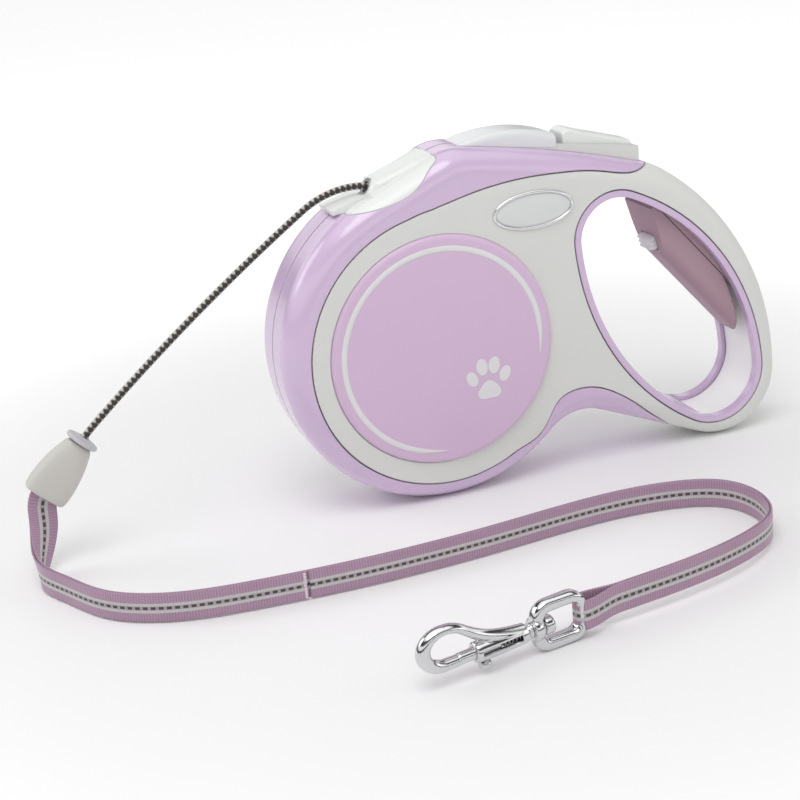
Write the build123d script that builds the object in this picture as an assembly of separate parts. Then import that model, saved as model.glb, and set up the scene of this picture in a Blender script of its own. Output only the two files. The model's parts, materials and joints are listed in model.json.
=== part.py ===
from build123d import *
import math
import os

# Retractable dog leash: a reel case with a hand loop, a brake button on top, a cord leaving a nozzle,
# a short webbing end and a bolt-snap hook. Millimetres. X runs from the cord side to the hand loop,
# Y from the left side face to the right one, Z up. The origin is the centre of the left side disc's
# outer face, on the reel's axis. Shapes are drawn about the case's mid-plane and moved there on export.

# Case
FACE_OUT = 19.0                 # mid-plane to the outer face of a side disc
CASE_C = (2.0, 2.0)             # centre of the round part of the case
CASE_R = 61.0
FACE_AT_AXIS = 17.4             # half thickness of the case at the reel's axis
FACE_SLOPE = 0.0197             # the case thins towards the hand loop
EDGE_R = 9.0                    # rounding of the case edges
SKIN = 2.5                      # thickness of the soft grey skin
FLOOR = -59.0                   # the case and the loop both rest at this height
RAMP_FROM = 113.3               # polar angle where the top leaves the round case
RAMP_LENGTH = 29.6
TOP_ARCS = ((20, 31.3), (460, 9.1), (36, 16))   # radius and turn of each arc along the top
BACK_R = 102.0
HEEL_TURN = 112.9
THROAT_R = 20.0
CAVITY_R = 55.0
CAVITY_HALF = 11.5
RIDGE_HALF = 7.5                # half width of the nozzle's raised ridge
NOZZLE_INSET = 0.35             # the nozzle's saddle lies this far below the case's surface

# Side disc and badge
DISC_R = 43.0
DISC_SEAT = 14.0
BADGE_C = (39.1, 45.9)
BADGE_SIZE = (16.0, 7.1)
BADGE_TURN = 1.0

# Hand opening: two end circles joined by two wide arcs
HOLE_TOP = (72.6, 30.2)
HOLE_TOP_R = 16.3
HOLE_LOW = (113.3, -31.3)
HOLE_LOW_R = 19.3
HOLE_LEFT_R = 97.6
HOLE_RIGHT_R = 89.2
LIP = 1.4                       # the hard case reaches this far into the opening
LIP_FACE = 1.0                  # and this far outwards on the case's face
SKIN_GAP = 0.5                  # open joint between the skin and the hard rim
SEAM = 0.4                      # half width of the groove where the two halves meet
SEAM_DEPTH = 0.8

# Adjustable grip: its finger face runs from GRIP_FROM along GRIP_ANGLE
GRIP_FROM = (95.5, 17.0)
GRIP_ANGLE = -49.0
GRIP_DEPTH = 10.85
GRIP_HALF = 10.8
GRIP_TRAVEL = 8.0
LATCH_ANGLE = 16.1              # direction in which the ribbed latch is pushed
LATCH_HALF = 5.2

# Reel
AXLE_R = 3.0
RUNNING = 0.06
HUB_R = 20.0
PACK_R = 44.0
FLANGE_R = 46.0
RATCHET_R = 52.0
TEETH = 24
CORD_R = 1.4
BUSH_R = 3.4                    # metal bush that guides the cord in the nozzle

# Brake
BUTTON_HALF = 5.8
PAWL_X = 9.5
PAWL_W = 3.0

# Webbing
WEB_W = 10.0
WEB_T = 1.6

# Hook
HOOK_AT = (-5.5, -138.0, -50.2)
HOOK_TURN = 10.0
HOOK_TILT = 2.0
HOOK_KNOB_W = -5.6              # height of the thumb knob below the hook's centre line

# Cord, connector and the webbing's twist
MOUTH = (-18.0, 60.2)
LIP_BEND = (8.0, 24.0)          # radius and turn of each arc along the cord, from the mouth
CREST_BEND = (34.8, 36.5)
SLACK_BEND = (810.0, 7.5)
DROOP_BEND = (40.0, 6.1)
CORD_TAIL = 9.0                 # last straight run, through the collar and into the connector
CONNECTOR_LENGTH = 22.8
CORD_INSERTED = 5.5
FOLD_TOP = (-148.6, 0.0, -38.2)
FOLD_LENGTH = 25.0
FOLD_TURN = 120

# Case screws
SCREWS = ((52.5, -32.0), (46.5, 42.5), (89.5, -37.0), (137.3, -30.0))
SCREW_R = 1.25
SCREW_HEAD_R = 2.3

NODES = {}


def prism(sketch, y_low, y_high):
    """A side-view outline given thickness from y_low to y_high."""
    return extrude(Plane.XZ.offset(-y_high) * sketch, amount=y_high - y_low)


def disc(radius, y_low, y_high, x=0.0, z=0.0):
    return prism(Pos(x, z) * Circle(radius), y_low, y_high)


def outline(*points):
    return make_face(Polyline(*points, close=True))


def keep(name, shape, colour):
    """Files one node under its name, moved so that the left disc's face is at y = 0."""
    shape = Pos(0, FACE_OUT, 0) * shape
    shape.label = name
    shape.color = Color(*colour)
    NODES[name] = shape


def largest(shape):
    """The main solid of a cut shape, without the slivers left beside a pocket."""
    return max(shape.solids(), key=lambda solid: solid.volume)


def on_circle(centre, radius, degrees):
    angle = math.radians(degrees)
    return (centre[0] + radius * math.cos(angle), centre[1] + radius * math.sin(angle))


# ---------------------------------------------------------------- outlines


def body_outline():
    """Side view of the case and hand loop, without the hand opening, as a chain of tangent arcs."""
    start = on_circle(CASE_C, CASE_R, RAMP_FROM)
    edges = [PolarLine(start, RAMP_LENGTH, angle=RAMP_FROM - 90)]
    heading = RAMP_FROM - 90
    for radius, turn in TOP_ARCS:
        edges.append(JernArc(start=edges[-1] @ 1, tangent=edges[-1] % 1, radius=radius, arc_size=-turn))
        heading -= turn
    back = JernArc(start=edges[-1] @ 1, tangent=edges[-1] % 1, radius=BACK_R, arc_size=-(90 + heading))
    heel_r = (back @ 1).Y - FLOOR
    toe = JernArc(start=back @ 1, tangent=back % 1, radius=heel_r, arc_size=-HEEL_TURN)
    # the straight underside ends where a throat arc can touch both it and the round case
    away = Vector(-(toe % 1).Y, (toe % 1).X, 0)
    centre = Vector(*CASE_C, 0)
    offset_start = (toe @ 1) + away * THROAT_R - centre
    along = offset_start.dot(toe % 1)
    gap = offset_start.dot(offset_start) - (CASE_R + THROAT_R) ** 2
    knee = (toe @ 1) + (toe % 1) * (-along - math.sqrt(along * along - gap))
    throat_c = knee + away * THROAT_R
    join = centre + (throat_c - centre).normalized() * CASE_R
    middle = throat_c - ((throat_c - knee) + (throat_c - join)).normalized() * THROAT_R
    neck = math.degrees(math.atan2(join.Y - centre.Y, join.X - centre.X))
    drum = CenterArc(CASE_C, CASE_R, neck, RAMP_FROM - neck - 360)
    return make_face(edges + [back, toe, Line(toe @ 1, knee), ThreePointArc(knee, middle, join), drum])


def opening_outline(grow=0.0):
    """The hand opening, made larger all round by grow."""
    ax, az = HOLE_TOP
    bx, bz = HOLE_LOW
    ra = HOLE_TOP_R + grow
    rb = HOLE_LOW_R + grow
    length = math.hypot(bx - ax, bz - az)
    ux, uz = (bx - ax) / length, (bz - az) / length
    ends = []
    middles = []
    for radius, side in ((HOLE_LEFT_R + grow, 1), (HOLE_RIGHT_R + grow, -1)):
        near = radius - ra
        far = radius - rb
        along = (near * near - far * far + length * length) / (2 * length)
        across = math.sqrt(near * near - along * along) * side
        cx = ax + along * ux - across * uz
        cz = az + along * uz + across * ux
        reach = math.hypot(cx - ax, cz - az)
        top = (cx + (ax - cx) / reach * radius, cz + (az - cz) / reach * radius)
        reach = math.hypot(cx - bx, cz - bz)
        low = (cx + (bx - cx) / reach * radius, cz + (bz - cz) / reach * radius)
        ends.append((top, low))
        mx, mz = (top[0] + low[0]) / 2 - cx, (top[1] + low[1]) / 2 - cz
        size = math.hypot(mx, mz)
        middles.append((cx + mx / size * radius, cz + mz / size * radius))
    (right_top, right_low), (left_top, left_low) = ends
    over = (ax - ux * ra, az - uz * ra)
    under = (bx + ux * rb, bz + uz * rb)
    return make_face([
        ThreePointArc(left_top, over, right_top),
        ThreePointArc(right_top, middles[0], right_low),
        ThreePointArc(right_low, under, left_low),
        ThreePointArc(left_low, middles[1], left_top),
    ])


def skin_zone(gap=0.0):
    """Side view of the area covered by the soft skin, drawn back from the hard rim by gap.

    It runs past the hand loop's outside.
    """
    centre = (1.5, -0.3)
    radius = 51.7 - gap
    top, low = 106.0, -62.0
    start = on_circle(centre, radius, top)
    finish = on_circle(centre, radius, low)
    over = [(89, 54.6), (82, 53.3), (67, 55.9), (50, 58.0), (36, 58.3), (22, 57.1), (9, 54.6), (-2, 52.1)]
    over = [(x, z - gap) for x, z in over]
    brow = Spline(over + [start], tangents=[(-1, -0.2), (-0.961, -0.276)])
    round_drum = CenterArc(centre, radius, top, 360 + low - top)
    under = [(36.8, -41), (45.8, -28.6), (54, -26.1), (66.5, -29.2), (79, -38), (97, -52.5)]
    under = [(x, z + gap) for x, z in under]
    throat = Spline([finish] + under, tangents=[(0.883, 0.469), (0.8, -0.6)])
    far = Polyline(under[-1], (110, -80), (180, -80), (180, 70), (97, 70), over[0])
    return make_face([brow, round_drum, throat, far])


# ---------------------------------------------------------------- case


def half_block(side, inset):
    """One half of the case as a full block, its edges rounded, made smaller all round by inset."""
    profile = body_outline()
    if inset:
        profile = offset(profile, amount=-inset)
    block = prism(profile, min(0, 30 * side), max(0, 30 * side))
    beyond = Plane(
        origin=(0, side * (FACE_AT_AXIS - inset), 0), x_dir=(0, 0, 1), z_dir=(FACE_SLOPE, side, 0)
    )
    block -= extrude(beyond * Rectangle(500, 500), amount=60)
    face = block.faces().sort_by(Axis.Y)[-1 if side > 0 else 0]
    return fillet(face.edges(), EDGE_R - inset)


def brake_room():
    """Space for the brake bar between the drum and the top of the case."""
    profile = outline(
        (6.5, 50), (6.5, 62.5), (12, 66), (30, 64), (50, 61.2), (81, 53), (81, 50.2), (40, 50.2)
    )
    return prism(profile, -4.3, 6.5)


def button_slot():
    return prism(outline((53.8, 53), (53.8, 75), (80.3, 75), (80.3, 53)), -6.1, 6.1)


def pad_zone():
    """Side view of the part of the opening behind the grip, where the hard liner sits."""
    return outline((80, 62), (160, 62), (160, -80), (108, -80), (108, -38), (100, 0))


def case_shells():
    """Two hard shells and two soft skins."""
    rooms = disc(CAVITY_R, -CAVITY_HALF, CAVITY_HALF)
    rooms += brake_room()
    rooms += button_slot()
    channel = prism(opening_outline(2.0) & pad_zone(), -11.5, 11.5)
    skin_seat = prism(skin_zone(), -40, 40) - prism(opening_outline(LIP_FACE), -40, 40)
    skin_area = prism(skin_zone(SKIN_GAP), -40, 40) - prism(opening_outline(LIP_FACE + SKIN_GAP), -40, 40)
    seam = prism(body_outline(), -SEAM, SEAM)
    seam -= prism(offset(body_outline(), amount=-SEAM_DEPTH), -SEAM, SEAM)
    saddle = nozzle_block()
    blocks = {}
    for side, word in ((-1, "left"), (1, "right")):
        outer = half_block(side, 0)
        core = half_block(side, SKIN)
        blocks[side] = outer
        layer = outer - core
        shell = outer - (layer & skin_seat) - seam
        skin = (layer & skin_area) - seam
        shell -= prism(opening_outline(-LIP), -40, 40)
        seat = disc(DISC_R + 0.05, min(side * DISC_SEAT, side * 30), max(side * DISC_SEAT, side * 30))
        skin -= seat
        shell -= seat
        skin -= badge_pocket(side)
        shell -= rooms
        shell -= channel
        shell -= disc(AXLE_R, -20, 20)
        shell -= saddle
        shell -= cord_passage()
        shell -= along_cord(BUSH_R, -6, 4)
        for x, z in SCREWS:
            shell -= disc(SCREW_R + 0.03, -9.2, 20, x, z)
            shell -= disc(SCREW_HEAD_R + 0.1, 11.0, 20, x, z)
            skin -= disc(SCREW_HEAD_R + 0.2, 0, 20, x, z)
        keep("case_" + word, largest(shell), (0.80, 0.70, 0.86))
        keep("soft_skin_" + word, skin, (0.84, 0.84, 0.82))
    return blocks


def case_screws():
    screws = []
    for x, z in SCREWS:
        screw = disc(SCREW_R, -9.0, 11.0, x, z) + disc(SCREW_HEAD_R, 11.0, 12.6, x, z)
        screw -= prism(Pos(x, z) * Rectangle(0.7, 2.8), 11.9, 14)
        screw -= prism(Pos(x, z) * Rectangle(2.8, 0.7), 11.9, 14)
        screws.append(screw)
    keep("case_screws", Compound(children=screws), (0.6, 0.6, 0.62))


def badge_pocket(side):
    face = FACE_AT_AXIS - FACE_SLOPE * BADGE_C[0]
    profile = Pos(*BADGE_C) * Rot(0, 0, BADGE_TURN) * Ellipse(*BADGE_SIZE)
    return prism(profile, min(side * (face - 1), side * 30), max(side * (face - 1), side * 30))


def badges():
    face = FACE_AT_AXIS - FACE_SLOPE * BADGE_C[0]
    for side, word in ((-1, "left"), (1, "right")):
        profile = Pos(*BADGE_C) * Rot(0, 0, BADGE_TURN) * Ellipse(*BADGE_SIZE)
        low, high = sorted((side * (face - 1), side * (face + 0.8)))
        plate = prism(profile, low, high)
        rim = plate.faces().sort_by(Axis.Y)[-1 if side > 0 else 0]
        keep("badge_" + word, fillet(rim.edges(), 0.6), (0.93, 0.93, 0.93))


def side_discs():
    for side, word in ((-1, "left"), (1, "right")):
        low, high = sorted((side * DISC_SEAT, side * FACE_OUT))
        plate = disc(DISC_R, low, high)
        rim = plate.faces().sort_by(Axis.Y)[-1 if side > 0 else 0]
        keep("side_disc_" + word, fillet(rim.edges(), 2.0), (0.78, 0.66, 0.80))


# ---------------------------------------------------------------- nozzle


def nozzle_profile():
    top = Polyline(
        (-33.5, 53.4), (-34.0, 55.0), (-26, 57.2), (-19.6, 58.2), (-16.6, 62.8), (-4.3, 66.9), (5.5, 70.0)
    )
    heel = Spline(
        (5.5, 70.0), (5.4, 69.0), (3.2, 67.0), (-2.4, 61.8), (-8.5, 57.8), (-15.1, 55.8), (-23, 54.5),
        (-33.5, 53.4),
    )
    return make_face([top, heel])


def nozzle_block(inset=0.0):
    """The saddle follows the case's rounded shoulders, inset below them, under a raised ridge."""
    wide = prism(nozzle_profile(), -17.2, 17.2)
    saddle = wide & (half_block(-1, inset) + half_block(1, inset))
    ridge = prism(nozzle_profile(), -RIDGE_HALF, RIDGE_HALF)
    flanks = [e for e in ridge.edges().filter_by(GeomType.LINE)
              if abs(abs((e @ 0.5).Y) - RIDGE_HALF) < 0.01 and (e @ 0.5).X > -19.5]
    return saddle + fillet(flanks, 3.0)


def cord_path():
    """Centre line of the cord in side view, from the wound pack to its knot in the connector."""
    reach = PACK_R + CORD_R + 0.1
    bearing = math.atan2(MOUTH[1], MOUTH[0]) - math.acos(reach / math.hypot(*MOUTH))
    edges = [Line((reach * math.cos(bearing), reach * math.sin(bearing)), MOUTH)]
    for radius, turn in (LIP_BEND, CREST_BEND, SLACK_BEND, DROOP_BEND):
        edges.append(JernArc(start=edges[-1] @ 1, tangent=edges[-1] % 1, radius=radius, arc_size=turn))
    edges.append(Line(edges[-1] @ 1, (edges[-1] @ 1) + (edges[-1] % 1) * CORD_TAIL))
    return edges


def along_cord(radius, start, finish):
    """A rod along the cord's inner run; start and finish are distances inwards from the mouth."""
    inner = cord_path()[0]
    run = Vector(-(inner % 1).X, 0, -(inner % 1).Y)
    origin = Vector(MOUTH[0], 0, MOUTH[1]) + run * start
    return extrude(Plane(origin=origin, z_dir=run) * Circle(radius), amount=finish - start)


def cord_passage():
    return along_cord(2.4, -3, 30)


def nozzle():
    body = nozzle_block(NOZZLE_INSET) - along_cord(2.4, -6, 30) - along_cord(BUSH_R, -6, 4)
    keep("cord_nozzle", body, (0.86, 0.86, 0.85))
    bush = along_cord(BUSH_R, -0.4, 4) - along_cord(2.1, -2, 6)
    keep("cord_bush", bush, (0.5, 0.5, 0.52))


# ---------------------------------------------------------------- brake


def brake_frame_and_window(blocks):
    body = blocks[-1] + blocks[1]
    rails = prism(
        outline((16, 66), (15, 71.6), (22, 71.5), (54, 66.4), (86.5, 61.2), (86.5, 53), (54, 60)),
        -8.2, 8.2,
    )
    rails -= prism(outline((53.6, 50), (53.6, 80), (84.9, 80), (84.9, 50)), -6.2, 6.2)
    window_face = Spline((15.5, 71.4), (22, 73.1), (31, 74.0), (43, 73.1), (53.4, 70.2))
    under = Polyline((53.4, 70.2), (53.4, 60), (15.5, 66), (15.5, 71.4))
    window = prism(make_face([window_face, under]), -8.2, 8.2)
    window = fillet(window.edges().filter_by(GeomType.BSPLINE), 2.5)
    cover_floor = prism(outline((12, 50), (12, 69.9), (31, 68.6), (53.5, 65.2), (53.5, 50)), -9, 9)
    window -= cover_floor
    window -= body
    rails -= window
    rails -= body
    keep("brake_frame", largest(rails), (0.80, 0.81, 0.79))
    keep("window_cover", window, (0.87, 0.88, 0.87))


def brake_parts():
    arm = prism(
        outline((8, 52.8), (8, 60), (52, 60), (53.5, 57.4), (78, 57.4), (78, 54), (50, 54), (46, 57),
                (11, 57), (11, 52.8)),
        -3.5, 5.6,
    )
    arm -= prism(outline((0, 40), (0, 57), (20, 57), (20, 40)), -10, 3.2)
    arm -= prism(outline((0, 40), (0, 57), (20, 57), (20, 40)), 5.3, 10)
    keep("brake_bar", arm, (0.35, 0.35, 0.37))
    crest = Spline((57, 69.6), (59.5, 70.8), (63, 69.9), (74, 66.5), (84.5, 63.3))
    low = Polyline((84.5, 63.3), (84.5, 61), (80, 61), (80, 57.4), (57, 57.4), (57, 69.6))
    button = prism(make_face([crest, low]), -BUTTON_HALF, BUTTON_HALF)
    button = fillet(button.edges().filter_by(GeomType.BSPLINE), 1.5)
    keep("brake_button", button, (0.84, 0.85, 0.83))
    spring_base = 50.2
    coil = coil_spring(2.4, 0.35, 54.0 - spring_base - 0.7, 3)
    springs = [Pos(x, 0, spring_base + 0.35) * coil for x in (60, 74)]
    keep("brake_springs", Compound(children=springs), (0.6, 0.6, 0.62))


def coil_spring(radius, wire, height, turns):
    path = Helix(pitch=height / turns, height=height, radius=radius)
    return sweep(Plane(origin=path @ 0, z_dir=path % 0) * Circle(wire), path=path, is_frenet=True)


# ---------------------------------------------------------------- reel


def half_ring(radius, width, upper):
    ring = Circle(radius + width / 2) - Circle(radius - width / 2)
    shift = radius + width
    return ring & (Pos(0, shift if upper else -shift) * Rectangle(4 * shift, 2 * shift))


def spiral(inner, outer, thickness, turns):
    """Flat spiral of half rings whose centres swap sides, so that each meets the next."""
    step = (outer - inner) / (2 * turns)
    shape = None
    for k in range(2 * turns):
        radius = inner + step * (k + 0.5)
        centre = step / 2 if k % 2 else -step / 2
        piece = Pos(centre, 0) * half_ring(radius, thickness, k % 2 == 0)
        shape = piece if shape is None else shape + piece
    return shape


def reel():
    flange = disc(RATCHET_R, 3.0, 5.5)
    slot_angle = math.degrees(math.atan2(51.0, PAWL_X))
    for k in range(TEETH):
        angle = slot_angle + 360 / TEETH * k
        notch = Rot(0, 0, angle) * Pos(RATCHET_R, 0) * Rectangle(2 * 4.2, 2 * PAWL_W)
        flange -= prism(notch, 2, 6)
    body = flange + disc(HUB_R, -9.0, 3.0)
    body -= disc(HUB_R - 2.5, -10, 3.0) - disc(6.0, -10, 3.0)
    for k in range(6):
        rib = Rot(0, 0, 60 * k) * Pos(11.8, 0) * Rectangle(13, 1.6)
        body += prism(rib, -8.0, 4.0)
    body += disc(29.0, 5.5, 10.5) - disc(27.2, 5.5, 10.5)
    body -= disc(AXLE_R + RUNNING, -20, 20)
    keep("reel_drum", body, (0.25, 0.25, 0.27))

    plate = disc(FLANGE_R, -10.5, -9.0) - disc(AXLE_R + RUNNING, -20, 20)
    for k in range(6):
        x, z = on_circle((0, 0), 33, 60 * k + 30)
        plate -= disc(7.0, -11, -8, x, z)
    keep("reel_flange", plate, (0.25, 0.25, 0.27))

    lid = disc(29.0, 10.5, 11.2) - disc(8.0, 10, 12)
    keep("spring_lid", lid, (0.6, 0.6, 0.62))

    arbor = disc(5.0, 5.6, 11.4) - disc(AXLE_R, 0, 20)
    keep("spring_arbor", arbor, (0.72, 0.6, 0.3))
    strip = prism(spiral(5.9, 26.3, 0.7, 6), 6.0, 10.2)
    keep("main_spring", strip, (0.35, 0.37, 0.42))
    keep("axle", disc(AXLE_R, -13.9, 13.9), (0.7, 0.7, 0.72))

    pack = disc(PACK_R, -8.9, 2.9) - disc(HUB_R + 0.05, -10, 4)
    keep("wound_cord", pack, (0.45, 0.43, 0.4))
    keep("cord_anchor", Pos(*spread(14.0, 30.0, -4.0)) * Sphere(2.2), (0.45, 0.43, 0.4))


def spread(radius, degrees, y):
    x, z = on_circle((0, 0), radius, degrees)
    return (x, y, z)


# ---------------------------------------------------------------- grip


def grip_frame():
    """Local frame of the grip in side view: first axis along its face, second into the loop."""
    return Pos(*GRIP_FROM) * Rot(0, 0, GRIP_ANGLE)


def latch_frame():
    return Pos(92.4, 21.5) * Rot(0, 0, LATCH_ANGLE)


def grip_parts():
    turn = math.radians(GRIP_ANGLE)
    back = (-GRIP_TRAVEL * math.cos(turn), -GRIP_TRAVEL * math.sin(turn))
    strip = outline((0, 0), (50, 0), (50, GRIP_DEPTH), (-19, GRIP_DEPTH), (-19, 8.6), (-10.6, 4.9))
    slab_view = grip_frame() * strip
    slab_view &= opening_outline(-0.3)
    slab_view &= Pos(*back) * opening_outline(-0.3)
    slab = prism(slab_view, -GRIP_HALF, GRIP_HALF)
    direction = Vector(math.cos(turn), 0, math.sin(turn))
    rounded = [e for e in slab.edges().filter_by(GeomType.LINE)
               if abs(abs((e % 0.5).dot(direction)) - 1) < 1e-6
               and math.hypot((e @ 0).X - GRIP_FROM[0], (e @ 0).Z - GRIP_FROM[1]) < 60
               and distance_to_face(e @ 0.5) < 0.5]
    slab = fillet(rounded, 6.0)
    pocket = latch_frame() * Pos(2.9, 0) * Rectangle(9.2, 6.1)
    slab -= prism(pocket, -LATCH_HALF - 0.25, LATCH_HALF + 0.25)
    keep("grip_slider", slab, (0.74, 0.62, 0.74))

    cap = prism(latch_frame() * Pos(1.7, 0) * Rectangle(5.8, 5.6), -LATCH_HALF, LATCH_HALF)
    for k in range(6):
        y = -4.0 + 1.6 * k
        cap -= prism(latch_frame() * Pos(-1.2, 0) * Rectangle(1.0, 8), y - 0.35, y + 0.35)
    keep("grip_latch", cap, (0.82, 0.83, 0.81))
    coil = coil_spring(1.8, 0.3, 1.6, 2)
    bearing = Plane(origin=latch_point(5.0), z_dir=latch_axis())
    keep("latch_spring", bearing.location * coil, (0.6, 0.6, 0.62))

    bed = (grip_frame() * outline((-30, 11.1), (80, 11.1), (80, 40), (-30, 40))) & opening_outline(-0.05)
    keep("grip_bed", prism(bed & pad_zone(), -11.0, 11.0), (0.72, 0.60, 0.72))
    ring = (opening_outline(1.95) - opening_outline(0.1)) & pad_zone()
    keep("handle_liner", prism(ring, -11.0, 11.0), (0.87, 0.88, 0.88))


def distance_to_face(point):
    turn = math.radians(GRIP_ANGLE)
    return abs(-(point.X - GRIP_FROM[0]) * math.sin(turn) + (point.Z - GRIP_FROM[1]) * math.cos(turn))


def latch_axis():
    turn = math.radians(LATCH_ANGLE)
    return Vector(math.cos(turn), 0, math.sin(turn))


def latch_point(depth):
    axis = latch_axis()
    return Vector(92.4, 0, 21.5) + axis * depth


# ---------------------------------------------------------------- cord and connector


def connector_plane(distance):
    """A plane across the connector, this far down from its top."""
    end = cord_path()[-1]
    axis = Vector((end % 1).X, 0, (end % 1).Y)
    origin = Vector((end @ 1).X, 0, (end @ 1).Y) + axis * (distance - CORD_INSERTED)
    return Plane(origin=origin, x_dir=(axis.Z, 0, -axis.X), z_dir=axis)


def cord():
    path = Plane.XZ * Wire(cord_path())
    rope = sweep(Plane(origin=path @ 0, z_dir=path % 0) * Circle(CORD_R), path=path)
    keep("cord_run", rope, (0.45, 0.43, 0.4))


def connector():
    top = connector_plane(0) * RectangleRounded(8.5, 7.0, 3.0)
    waist = connector_plane(0.55 * CONNECTOR_LENGTH) * RectangleRounded(13.5, 8.4, 3.0)
    low = connector_plane(CONNECTOR_LENGTH) * RectangleRounded(17.0, 8.6, 3.0)
    body = loft([top, waist, low])
    body -= extrude(connector_plane(-1) * Circle(CORD_R + 0.05), amount=8)
    body -= extrude(connector_plane(CORD_INSERTED) * Circle(3.0), amount=6)
    body -= extrude(connector_plane(11.5) * Rectangle(WEB_W + 0.5, WEB_T + 0.8), amount=CONNECTOR_LENGTH)
    keep("connector_body", body, (0.84, 0.82, 0.79))
    knot = Pos(*connector_plane(8.3).origin) * Sphere(2.7)
    keep("cord_knot", knot, (0.45, 0.43, 0.4))
    collar = extrude(connector_plane(-2.2) * Circle(6.2), amount=2.0)
    collar -= extrude(connector_plane(-4) * Circle(CORD_R + 0.05), amount=8)
    keep("stop_collar", collar, (0.80, 0.76, 0.86))


# ---------------------------------------------------------------- webbing


def fold_state(degrees):
    """Centre, heading and width direction after the webbing has rolled by this angle.

    It rolls from hanging, seen flat from the front, to standing on its edge heading forwards.
    """
    roll = Axis((0, 0, 0), (-1, 1, 1))
    heading = Vector(0, 0, -1)
    across = Vector(-1, 0, 0)
    centre = Vector(*FOLD_TOP)
    for k in range(degrees):
        centre = centre + heading.rotate(roll, k + 0.5) * (FOLD_LENGTH / FOLD_TURN)
    return centre, heading.rotate(roll, degrees), across.rotate(roll, degrees)


def webbing():
    clamped = extrude(connector_plane(12) * Rectangle(WEB_W, WEB_T), amount=CONNECTOR_LENGTH - 12)
    sections = [connector_plane(CONNECTOR_LENGTH) * Rectangle(WEB_W, WEB_T)]
    for degrees in range(0, FOLD_TURN + 1, 30):
        centre, heading, width = fold_state(degrees)
        sections.append(Plane(origin=centre, x_dir=width, z_dir=heading) * Rectangle(WEB_W, WEB_T))
    hanging = clamped + loft(sections)
    end = fold_state(FOLD_TURN)[0]
    level = end.Z
    rise = HOOK_AT[2]
    turn = math.radians(HOOK_TURN)
    side = 2.95
    finish_x = HOOK_AT[0] + math.cos(turn) + side * math.sin(turn)
    finish_y = HOOK_AT[1] + math.sin(turn) - side * math.cos(turn)
    path = Pos(0, 0, level) * Spline(
        (end.X, end.Y), (-148, -32), (-138, -50.5), (-118, -64), (-92, -69), (-50, -71), (0, -68),
        (45, -64), (67, -66.8), (82, -75), (86.5, -90), (80, -108), (62, -122), (35, -131),
        (finish_x, finish_y),
        tangents=[(0, -1), (-math.cos(turn), -math.sin(turn))],
    )
    tall = Plane(origin=path @ 0, x_dir=(0, 0, 1), z_dir=path % 0) * Rectangle(3 * WEB_W, WEB_T)
    # the return leg climbs a little, so the webbing is cut from a taller strip
    half = WEB_W / 2
    climb = outline(
        (20, level - half), (-95, level - half), (-131, rise - half), (-160, rise - half),
        (-160, rise + half), (-131, rise + half), (-95, level + half), (20, level + half),
    )
    floor_run = sweep(tall, path=path) & extrude(Plane.YZ.offset(-200) * climb, amount=320)
    eye_loop = Pos(*HOOK_AT) * (Cylinder(3.75, WEB_W) - Cylinder(2.4, WEB_W + 2))
    keep("webbing", hanging + floor_run + eye_loop, (0.72, 0.58, 0.68))
    stitches = []
    for k in range(5):
        stitches.append(Pos(-50 + 0.9 * k, -71 - WEB_T / 2 - 0.33, level) * Box(0.5, 0.5, 8.0))
    keep("web_stitching", Compound(children=stitches), (0.82, 0.72, 0.80))


# ---------------------------------------------------------------- hook


def hook_place(shape):
    return Location(HOOK_AT, (0, -HOOK_TILT, HOOK_TURN)) * shape


def rod(radius, u_low, u_high, w=0.0):
    """A rod along the hook's own length."""
    return Pos(u_low, 0, w) * Rot(0, 90, 0) * extrude(Circle(radius), amount=u_high - u_low)


def hook():
    frame = Pos(-8.5, 0, 0) * Rot(90, 0, 0) * extrude(RectangleRounded(20, 16.6, 4), amount=1.5, both=True)
    frame -= Pos(-8.0, 0, 0) * Rot(90, 0, 0) * extrude(RectangleRounded(13, 11, 1.2), amount=5, both=True)
    frame = fillet(frame.edges().filter_by(GeomType.LINE), 0.9)
    frame += rod(4.0, -18.5, -14.5)
    frame -= rod(2.03, -25, -10)
    keep("swivel_eye", hook_place(frame), (0.8, 0.8, 0.82))

    barrel = rod(3.4, -39.0, -20.0) + rod(2.9, -20.0, -18.7)
    stem = rod(1.95, -18.8, -14.2) + rod(2.9, -14.3, -12.9)
    loop_edge = ThreePointArc((-49, 0, -0.3), (-55.9, 0, 6.6), (-49, 0, 13.5))
    nose = Line((-45.2, 0, -0.3), (-49, 0, -0.3))
    neck = ((-49, 0, 13.5), (-43.5, 0, 11.2), (-36.0, 0, 2.6))
    shoulder = Spline(*neck, tangents=[(1, 0, 0), (0.8, 0, -0.6)])
    path = Wire([nose, loop_edge, shoulder])
    bow = sweep(Plane(origin=path @ 0, z_dir=path % 0) * Circle(1.85), path=path)
    body = barrel + stem + bow
    body -= rod(2.03, -39.6, -21.2)
    body -= Pos(-31.3, 0, -2.6) * Box(11.4, 2.6, 5.2)
    keep("hook_body", hook_place(body), (0.8, 0.8, 0.82))

    bolt = rod(1.95, -45.1, -30.0)
    bolt += Pos(-35.6, 0, HOOK_KNOB_W / 2) * Cylinder(1.1, -HOOK_KNOB_W)
    bolt += Pos(-35.6, 0, HOOK_KNOB_W) * Sphere(1.8)
    bolt -= rod(5, -46, -45.2)
    keep("hook_bolt", hook_place(bolt), (0.8, 0.8, 0.82))
    coil = Pos(-29.6, 0, 0) * Rot(0, 90, 0) * coil_spring(1.45, 0.3, 8.0, 6)
    keep("bolt_spring", hook_place(coil), (0.6, 0.6, 0.62))


def build():
    blocks = case_shells()
    case_screws()
    badges()
    side_discs()
    nozzle()
    brake_frame_and_window(blocks)
    brake_parts()
    reel()
    grip_parts()
    cord()
    connector()
    webbing()
    hook()


build()
os.makedirs("parts", exist_ok=True)
for node_name, node_shape in NODES.items():
    export_step(node_shape, os.path.join("parts", node_name + ".step"))
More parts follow.
